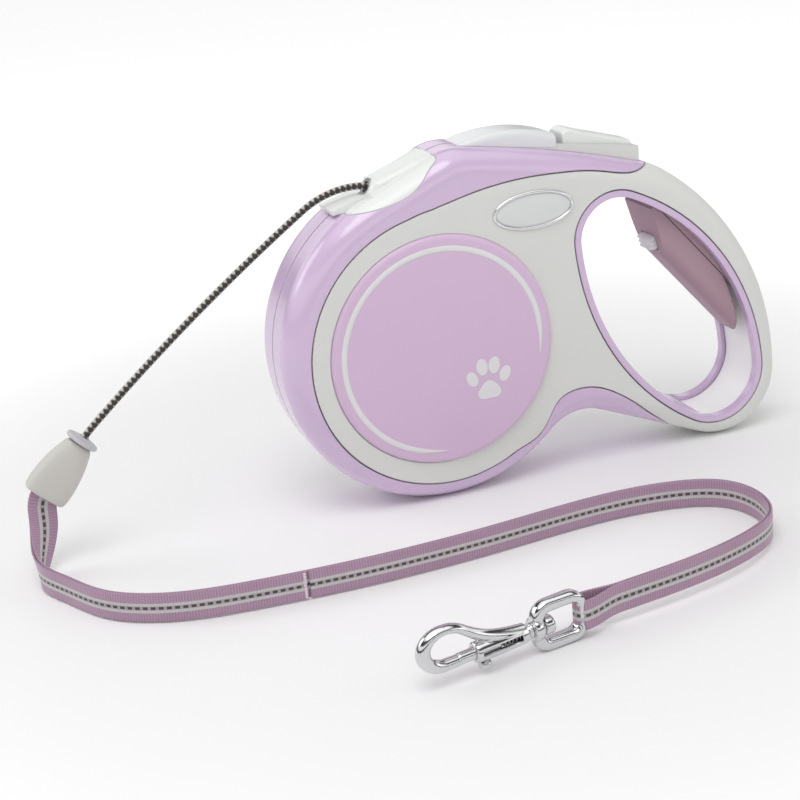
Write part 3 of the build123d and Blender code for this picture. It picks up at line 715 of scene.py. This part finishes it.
def build_connector(mouth, heading):
    axis = np.array([math.cos(heading), 0, math.sin(heading)])
    wide = np.array([axis[2], 0, -axis[0]])
    thin = np.array([0.0, 1.0, 0.0])
    length = CONNECTOR_LENGTH
    top = mouth - axis * length
    # (share of length, half width, half thickness)
    rings = [
        (0.000, 1.6, 1.6), (0.000, 3.6, 2.8), (0.010, 4.6, 3.4), (0.05, 5.2, 3.7), (0.14, 6.0, 4.0),
        (0.30, 6.95, 4.3), (0.50, 7.7, 4.5), (0.70, 8.1, 4.6), (0.85, 8.15, 4.5), (0.93, 8.0, 4.35),
        (0.975, 7.75, 4.05), (0.995, 7.3, 3.6), (1.000, 6.8, 3.0), (0.998, 6.0, 1.75), (0.985, 5.45, 1.35),
        (0.90, 5.35, 1.3), (0.75, 5.3, 1.25),
    ]
    around = 48
    verts = []
    for share, a, b in rings:
        power = 2.0 + 1.6 * smoothstep(np.array(share * 1.4))
        inner = share > 0.5 and b < 2.0
        power = 7.0 if inner else float(power)
        for j in range(around):
            t = 2 * math.pi * j / around
            c, s = math.cos(t), math.sin(t)
            x = abs(c) ** (2 / power) * math.copysign(1, c) * a / 1000
            y = abs(s) ** (2 / power) * math.copysign(1, s) * b / 1000
            verts.append(top + axis * share * length + wide * x + thin * y)
    body = add_mesh("connector_shell", verts, tube_faces(len(rings), around), CONNECTOR)
    fix_normals(body)
    body.modifiers.new("round", "SUBSURF").render_levels = 2
    body.modifiers["round"].levels = 1
    stand_for(body, "leash", "connector_body")
    profile = [
        (0.00150, -0.0004), (0.0035, -0.00035), (0.0056, -0.0004), (0.0061, -0.0008), (0.0062, -0.0013),
        (0.0060, -0.0019), (0.0053, -0.0022), (0.0034, -0.0023), (0.0024, -0.0029), (0.0015, -0.0030),
    ]
    collar = lathe("collar_disc", profile, tuple(top), tuple(axis), (0, 1, 0), COLLAR, 64)
    collar.modifiers.new("round", "SUBSURF").render_levels = 2
    stand_for(collar, "leash", "stop_collar")


# ------------------------------------------------------------------ printed ring, paw mark and badge


def side_point(side, x, z, out):
    """A point on the left (-1) or right (+1) side of the case, out metres outside its disc face."""
    return np.array([x, MID_Y + side * (MID_Y + out), z])


def print_patch(name, side, outline, material):
    """A thin raised print on a side disc, with a flat top."""
    loop = np.array(outline)
    n = len(loop)
    verts = [side_point(side, x, z, -PRINT_SUNK) for x, z in loop]
    verts += [side_point(side, x, z, PRINT_THICK) for x, z in loop]
    faces = [tuple(range(n)), tuple(range(n, 2 * n))[::-1]]
    faces += [(k, (k + 1) % n, n + (k + 1) % n, n + k) for k in range(n)]
    obj = add_mesh(name, verts, faces, material, smooth=False)
    fix_normals(obj)
    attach(obj, "case")
    return obj


def ellipse(cx, cz, a, b, turn, count=40):
    t = np.linspace(0, 2 * math.pi, count, endpoint=False)
    c, s = math.cos(math.radians(turn)), math.sin(math.radians(turn))
    x, z = a * np.cos(t), b * np.sin(t)
    return [(cx + p * c - q * s, cz + p * s + q * c) for p, q in zip(x, z)]


def build_prints():
    for side, word in ((-1, "left"), (1, "right")):
        start, finish = math.radians(RING_ARC[0]), math.radians(RING_ARC[1])
        angles = np.linspace(start, finish, 150)
        share = (angles - start) / (finish - start)
        width = 0.0011 * np.minimum(1, np.minimum(share, 1 - share) * 14 + 0.12)
        verts = []
        for angle, half in zip(angles, width):
            flat = half * 0.85
            section = ((-half, -PRINT_SUNK), (-flat, PRINT_THICK), (flat, PRINT_THICK), (half, -PRINT_SUNK))
            for radius, out in section:
                r = RING_R + radius
                verts.append(side_point(side, r * math.cos(angle), r * math.sin(angle), out))
        faces = tube_faces(len(angles), 4)
        ring = add_mesh("ring_print_" + word, verts, faces, PRINT)
        fix_normals(ring)
        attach(ring, "case")
        cx, cz = PAW_AT
        k = PAW_SIZE
        toes = ((-0.62, 0.22, 0.20, 0.29, 24), (-0.23, 0.60, 0.21, 0.31, 8), (0.23, 0.60, 0.21, 0.31, -8),
                (0.62, 0.22, 0.20, 0.29, -24))
        for n, (dx, dz, a, b, turn) in enumerate(toes):
            shape = ellipse(cx + dx * k, cz + dz * k, a * k, b * k, turn)
            print_patch(f"paw_toe_{word}_{n + 1}", side, shape, PRINT)
        t = np.linspace(0, 2 * math.pi, 60, endpoint=False)
        pad = 0.40 * k * (1 + 0.13 * np.cos(3 * (t - math.pi / 2)) + 0.06 * np.cos(2 * t))
        shape = [(cx + r * math.cos(a), cz - 0.30 * k + r * 0.86 * math.sin(a)) for r, a in zip(pad, t)]
        print_patch(f"paw_pad_{word}", side, shape, PRINT)


def elliptic_rings(name, side, base, rings, material, around=72):
    """Nested ellipses from the outside in; a ring is (share of the size, height above the base)."""
    a, b = BADGE_SIZE
    cx, cz = BADGE_C
    c, s = math.cos(math.radians(BADGE_TURN)), math.sin(math.radians(BADGE_TURN))
    verts = []
    for inset, height in rings:
        for k in range(around):
            t = 2 * math.pi * k / around
            p, q = (a - inset) * math.cos(t), (b - inset) * math.sin(t)
            verts.append(side_point(side, cx + p * c - q * s, cz + p * s + q * c, base + height))
    faces = tube_faces(len(rings), around)
    obj = add_mesh(name, verts, faces, material)
    fix_normals(obj)
    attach(obj, "case")
    return obj


def build_badges():
    for side, word in ((-1, "left"), (1, "right")):
        lo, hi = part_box("badge_" + word)
        surface = hi.y - 2 * MID_Y if side > 0 else -lo.y
        base = surface - 0.0008
        rim = [(0.0, -0.0006), (0.0, 0.0003), (0.00012, 0.0006), (0.0004, 0.0008), (0.0008, 0.00082),
               (0.0011, 0.0006), (0.00122, 0.0002), (0.00125, -0.0006)]
        plate = [(0.00127, -0.0006), (0.00127, 0.0002), (0.0014, 0.00034), (0.0022, 0.00044),
                 (0.0040, 0.00056), (0.0056, 0.00062), (0.0068, 0.00064)]
        elliptic_rings("badge_rim_" + word, side, base, rim, BADGE_RIM)
        piece = elliptic_rings("badge_plate_" + word, side, base, plate, BADGE_PLATE)
        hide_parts("badge_" + word)


# ------------------------------------------------------------------ hook


def hook_point(u, v, w):
    """A point given along, across and above the hook's own axis, in millimetres."""
    return HOOK_AT + (HOOK_U * u + HOOK_V * v + HOOK_W * w) / 1000


def hook_tube(path, radii, around=28):
    """A bar along (u, w) points; each radius pair is (in the hook's plane, across it)."""
    path = np.array(path, float)
    tangent = unit(np.gradient(path, axis=0))
    verts = []
    for (u, w), (tu, tw), (flat, deep) in zip(path, tangent, radii):
        for k in range(around):
            a = 2 * math.pi * k / around
            out = flat * math.cos(a)
            verts.append(hook_point(u - tw * out, deep * math.sin(a), w + tu * out))
    return verts, tube_faces(len(path), around)


def join_parts(parts):
    verts, faces = [], []
    for part_verts, part_faces in parts:
        faces += [tuple(i + len(verts) for i in f) for f in part_faces]
        verts += list(part_verts)
    return verts, faces


def hook_lathe(profile, around=40):
    """Turns (u, radius) points about the hook's axis."""
    verts = []
    for u, radius in profile:
        for k in range(around):
            a = 2 * math.pi * k / around
            verts.append(hook_point(u, radius * math.cos(a), radius * math.sin(a)))
    return verts, tube_faces(len(profile), around)


def cast_mesh(name, parts, voxel, material, smooth_rounds=6):
    """Joins parts into one cast-looking skin."""
    obj = add_mesh(name, *join_parts(parts), material)
    fix_normals(obj)
    remesh = obj.modifiers.new("join", "REMESH")
    remesh.mode = "VOXEL"
    remesh.voxel_size = voxel
    remesh.use_smooth_shade = True
    relax = obj.modifiers.new("relax", "SMOOTH")
    relax.factor = 0.5
    relax.iterations = smooth_rounds
    return obj


def carve(obj, cutter_parts):
    """Cuts closed shapes out of a piece for good."""
    cutter = add_mesh("cutter", *join_parts(cutter_parts), STEEL)
    fix_normals(cutter)
    cut = obj.modifiers.new("cut", "BOOLEAN")
    cut.operation = "DIFFERENCE"
    cut.solver = "EXACT"
    cut.object = cutter
    bake(obj)
    bpy.data.objects.remove(cutter)


def bake(obj):
    """Applies every modifier so the mesh holds the final shape."""
    graph = bpy.context.evaluated_depsgraph_get()
    mesh = bpy.data.meshes.new_from_object(obj.evaluated_get(graph))
    obj.modifiers.clear()
    obj.data = mesh
    obj.data.polygons.foreach_set("use_smooth", [True] * len(mesh.polygons))


def build_hook():
    nose = [(-44.4 - 0.4 * k, -0.2) for k in range(12)]
    loop = []
    for k in range(1, 41):
        a = math.radians(-90 - 180 * k / 40)
        loop.append((-49.0 + 7.2 * math.cos(a), 5.6 + 5.8 * math.sin(a)))
    crest = clamped_spline(
        [(-49.0, 11.4), (-44.5, 10.5), (-40.6, 8.0), (-36.5, 5.4), (-31.5, 3.3), (-26.0, 1.9), (-21.0, 1.1)],
        (1, 0), (0.99, -0.12), 0.5,
    )
    path = nose + loop + [tuple(p) for p in crest[1:]]
    share = np.linspace(0, 1, len(path))
    girth = np.interp(np.arange(len(path)), [0, 12, 30, 52, len(path) - 1], [1.9, 2.0, 2.5, 1.4, 2.3])
    radii = [(g, 2.0 + 0.3 * math.sin(math.pi * s) + 0.6 * smoothstep((s - 0.75) / 0.25))
             for g, s in zip(girth, share)]
    bow = hook_tube(path, radii)
    barrel = hook_lathe([(-39.2, 0.0), (-39.2, 2.9), (-38.7, 3.35), (-37.5, 3.45), (-30, 3.35), (-22.5, 3.2),
                         (-20.6, 3.0), (-19.9, 2.3), (-19.9, 0.0)])
    neck = hook_lathe([(-20.5, 0.0), (-20.5, 1.9), (-19.6, 1.75), (-19.2, 2.35), (-18.9, 2.55), (-18.6, 2.35),
                       (-18.5, 1.9), (-14.4, 1.9), (-14.2, 2.6), (-13.7, 3.1), (-11.6, 3.1), (-11.0, 2.8),
                       (-10.6, 2.1), (-10.5, 0.0)])
    body = cast_mesh("snap_body", [bow, barrel, neck], HOOK_VOXEL, CHROME)
    bake(body)
    bore = hook_lathe([(-41.5, 0.0), (-41.5, 2.1), (-21.4, 2.1), (-21.4, 0.0)])
    slot_low = slot_box(-37.4, -25.4, -1.25, 1.25, -5.5, 0.0)
    slot_side = slot_box(-37.6, -23.0, -6.0, -1.0, -0.55, 1.35)
    carve(body, [bore])
    carve(body, [slot_low])
    carve(body, [slot_side])
    stand_for(body, "hook", "hook_body")

    rod = hook_lathe([(-45.3, 0.0), (-45.3, 1.35), (-45.0, 1.75), (-44.3, 1.95), (-30.5, 1.95),
                      (-30.1, 1.7), (-30.1, 0.0)])
    stem = stem_lathe([(-1.0, 1.15), (-2.6, 1.1), (-3.3, 1.0), (-3.6, 1.3), (-3.9, 1.85), (-4.4, 2.15),
                       (-5.1, 2.2), (-5.7, 2.0), (-6.1, 1.5), (-6.3, 0.8)], STEM_U)
    bolt = cast_mesh("snap_bolt", [rod, stem], BOLT_VOXEL, CHROME, 4)
    bake(bolt)
    stand_for(bolt, "bolt", "hook_bolt")
    build_swivel_eye()


def slot_box(u0, u1, v0, v1, w0, w1):
    corners = [(u, v, w) for u in (u0, u1) for v in (v0, v1) for w in (w0, w1)]
    verts = [hook_point(*c) for c in corners]
    faces = [(0, 1, 3, 2), (4, 6, 7, 5), (0, 4, 5, 1), (2, 3, 7, 6), (0, 2, 6, 4), (1, 5, 7, 3)]
    return verts, faces


def stem_lathe(profile, u0, around=28):
    """Turns (height, radius) points about the stem of the thumb knob."""
    verts = []
    for w, radius in profile:
        for k in range(around):
            a = 2 * math.pi * k / around
            verts.append(hook_point(u0 + radius * math.cos(a), radius * math.sin(a), w))
    return verts, tube_faces(len(profile), around)


def build_swivel_eye():
    """A flat cast frame, wide at the strap's bar, on a short sleeve round the hook's neck."""
    corner = 4.2
    half_u, half_w = 8.2, 6.6
    path = []
    flat_u, flat_w = half_u - corner, half_w - corner
    corners = ((flat_u, flat_w, 0), (-flat_u, flat_w, 90), (-flat_u, -flat_w, 180), (flat_u, -flat_w, 270))
    for cu, cw, start in corners:
        for k in range(12):
            a = math.radians(start + 90 * k / 11)
            path.append((cu - half_u + corner * math.cos(a), cw + corner * math.sin(a)))
    path = np.array(path)
    ahead = unit(np.roll(path, -1, axis=0) - np.roll(path, 1, axis=0))
    around = 24
    verts = []
    for (u, w), (tu, tw) in zip(path, ahead):
        end = smoothstep(np.array((u + 7.0) / 6.0))
        flat, deep = 2.1 - 0.3 * end, 2.3 + 0.6 * end
        for k in range(around):
            a = 2 * math.pi * k / around
            c = abs(math.cos(a)) ** 0.75 * math.copysign(1, math.cos(a))
            s = abs(math.sin(a)) ** 0.75 * math.copysign(1, math.sin(a))
            verts.append(hook_point(u - tw * flat * c, deep * s, w + tu * flat * c))
    rings = len(path)
    faces = []
    for i in range(rings):
        for j in range(around):
            k, m = (j + 1) % around, (i + 1) % rings
            faces.append((i * around + j, i * around + k, m * around + k, m * around + j))
    sleeve = hook_lathe([(-18.5, 0.0), (-18.5, 3.3), (-18.1, 3.8), (-17.2, 4.0), (-15.8, 3.8), (-14.9, 3.3),
                         (-14.6, 2.6), (-14.6, 0.0)])
    eye = cast_mesh("swivel_frame", [(verts, faces), sleeve], HOOK_VOXEL, CHROME, 5)
    bake(eye)
    carve(eye, [hook_lathe([(-25, 0.0), (-25, 2.05), (-12, 2.05), (-12, 0.0)])])
    carve(eye, [hook_lathe([(-14.62, 0.0), (-14.62, 3.2), (-11.5, 3.2), (-11.5, 0.0)])])
    stand_for(eye, "leash", "swivel_eye")


# ------------------------------------------------------------------ latch


def build_latch():
    """The latch under the fingertip: a rounded pad with ridges all round."""
    source = NODES["grip_latch"]
    points = np.array([source.matrix_world @ v.co for v in source.data.vertices])
    axes = np.array((LATCH_WAY, (0, 1, 0), LATCH_UP))
    low = (points @ axes.T).min(axis=0)
    high = (points @ axes.T).max(axis=0)
    middle = (low + high) / 2
    half = (high - low) / 2
    levels, around = 73, 64
    ridge, pitch, shoulder = 0.00065, 0.00187, 0.0009
    verts = []
    for i in range(levels):
        share = -1 + 2 * i / (levels - 1)
        rim = half[2] * (1 - abs(share))
        inset = shoulder - math.sqrt(shoulder ** 2 - max(0, shoulder - rim) ** 2)
        inset += ridge * (0.5 - 0.5 * math.cos(2 * math.pi * half[2] * share / pitch))
        for k in range(around):
            a = 2 * math.pi * k / around
            c = abs(math.cos(a)) ** 0.4 * math.copysign(1, math.cos(a))
            d = abs(math.sin(a)) ** 0.4 * math.copysign(1, math.sin(a))
            place = middle + ((half[0] - inset) * c, (half[1] - inset) * d, half[2] * share)
            verts.append(axes.T @ place)
    pad = add_mesh("latch_pad", verts, tube_faces(levels, around), PALE)
    stand_for(pad, "latch", "grip_latch")


# ------------------------------------------------------------------ springs


def build_spring(node, body, axis):
    """A copy of a CAD coil, shown in place of the node and moving with its body."""
    source = NODES[node]
    coil = bpy.data.objects.new(node + "_coil", source.data.copy())
    bpy.context.scene.collection.objects.link(coil)
    coil.matrix_world = source.matrix_world.copy()
    axis = unit(np.array(axis, float))
    stand_for(coil, body, node)
    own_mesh(coil)


def build_springs():
    # node, body and the direction of the push
    build_spring("brake_springs", "case", (0, 0, -1))
    build_spring("latch_spring", "grip", LATCH_WAY)
    build_spring("bolt_spring", "hook", HOOK_U)


# ------------------------------------------------------------------ stage


def build_stage():
    mesh = bpy.data.meshes.new("floor")
    bm = bmesh.new()
    size = 6.0
    plan = ((-size, -size), (size, -size), (size, size), (-size, size))
    corners = [bm.verts.new((x, y, FLOOR_Z)) for x, y in plan]
    bm.faces.new(corners)
    bm.to_mesh(mesh)
    bm.free()
    floor = bpy.data.objects.new("floor", mesh)
    bpy.context.scene.collection.objects.link(floor)
    mat, nodes, links, bsdf = new_material("floor_white")
    bsdf.inputs["Base Color"].default_value = (0.95, 0.95, 0.95, 1)
    bsdf.inputs["Roughness"].default_value = 0.5
    # the far floor glows for the camera, so that it fades into white
    coord = nodes.new("ShaderNodeTexCoord")
    away = nodes.new("ShaderNodeVectorMath")
    away.operation = "LENGTH"
    links.new(coord.outputs["Object"], away.inputs[0])
    fade = nodes.new("ShaderNodeMapRange")
    fade.interpolation_type = "SMOOTHSTEP"
    fade.inputs["From Min"].default_value = GLOW_FROM
    fade.inputs["From Max"].default_value = GLOW_TO
    fade.inputs["To Max"].default_value = GLOW
    links.new(away.outputs["Value"], fade.inputs["Value"])
    path = nodes.new("ShaderNodeLightPath")
    glow = math_node(nodes, links, "MULTIPLY", fade.outputs[0], path.outputs["Is Camera Ray"])
    bsdf.inputs["Emission Color"].default_value = (1, 1, 1, 1)
    links.new(glow, bsdf.inputs["Emission Strength"])
    mesh.materials.append(mat)


def area_light(name, place, target, size, power, color=(1, 1, 1)):
    data = bpy.data.lights.new(name, "AREA")
    data.shape = "DISK"
    data.size = size
    data.energy = power
    data.color = color
    obj = bpy.data.objects.new(name, data)
    obj.location = place
    aim = Vector(target) - Vector(place)
    obj.rotation_mode = "QUATERNION"
    obj.rotation_quaternion = aim.to_track_quat("-Z", "Y")
    bpy.context.scene.collection.objects.link(obj)
    return obj


def build_world():
    """White all round for the floor, and a striped softbox room for reflections."""
    world = bpy.data.worlds.new("studio")
    world.use_nodes = True
    nodes, links = world.node_tree.nodes, world.node_tree.links
    plain = nodes["Background"]
    plain.inputs[0].default_value = (1, 1, 1, 1)
    plain.inputs[1].default_value = 0.62
    coord = nodes.new("ShaderNodeTexCoord")
    split = nodes.new("ShaderNodeSeparateXYZ")
    links.new(coord.outputs["Generated"], split.inputs[0])
    ramp = nodes.new("ShaderNodeValToRGB")
    stops = ((0.0, 0.35), (0.42, 0.5), (0.46, 0.03), (0.56, 0.04), (0.60, 0.9), (0.70, 1.25), (0.75, 0.06),
             (0.86, 0.08), (0.91, 1.3), (1.0, 1.5))
    elements = ramp.color_ramp.elements
    while len(elements) > 1:
        elements.remove(elements[-1])
    for k, (at, value) in enumerate(stops):
        element = elements[0] if k == 0 else elements.new(at)
        element.position = at
        element.color = (value, value, value, 1)
    height = math_node(nodes, links, "MULTIPLY_ADD", split.outputs["Z"], 0.5, 0.5)
    links.new(height, ramp.inputs[0])
    shiny = nodes.new("ShaderNodeBackground")
    links.new(ramp.outputs[0], shiny.inputs[0])
    path = nodes.new("ShaderNodeLightPath")
    pick = nodes.new("ShaderNodeMixShader")
    links.new(path.outputs["Is Glossy Ray"], pick.inputs[0])
    links.new(plain.outputs[0], pick.inputs[1])
    links.new(shiny.outputs[0], pick.inputs[2])
    links.new(pick.outputs[0], nodes["World Output"].inputs[0])
    bpy.context.scene.world = world


def build_lights():
    build_world()
    centre = (0.0, -0.03, 0.0)
    area_light("key", (-0.25, -0.45, 1.0), centre, 0.7, 4.2)
    area_light("fill", (1.0, -0.6, 0.5), centre, 0.8, 0.8)
    area_light("rim", (-0.9, 0.5, 0.6), centre, 0.6, 2.2)
    bpy.context.scene.view_settings.view_transform = "Standard"


def build_camera():
    """The main view: turned to the left of the front, looking down, slightly rolled."""
    yaw, pitch, roll = (math.radians(v) for v in (18.26, 19.64, 5.07))
    distance = 0.63672
    target = Vector((-0.01228, 0.019, -0.02211))
    back = Vector((-math.sin(yaw) * math.cos(pitch), -math.cos(yaw) * math.cos(pitch), math.sin(pitch)))
    right = Vector((math.cos(yaw), -math.sin(yaw), 0))
    up = back.cross(right)
    right, up = (
        right * math.cos(roll) - up * math.sin(roll),
        up * math.cos(roll) + right * math.sin(roll),
    )
    data = bpy.data.cameras.new("camera")
    data.sensor_width = 36.0
    data.lens = 76.5
    data.clip_start = 0.01
    cam = bpy.data.objects.new("camera", data)
    turn = Matrix((right, up, back)).transposed()
    cam.matrix_world = Matrix.Translation(target + back * distance) @ turn.to_4x4()
    bpy.context.scene.collection.objects.link(cam)
    bpy.context.scene.camera = cam


CORD = cord_material()
WEB = webbing_material()
cord_end, cord_heading = build_cord()
cord_axis = np.array([math.cos(cord_heading), 0, math.sin(cord_heading)])
connector_mouth = cord_end + cord_axis * (CONNECTOR_LENGTH - CORD_INSERTED)
build_wound_cord()
build_knots()
build_connector(connector_mouth, cord_heading)
build_webbing(connector_mouth, cord_heading)
build_prints()
build_badges()
build_hook()
build_latch()
build_springs()
build_stage()
build_lights()
build_camera()
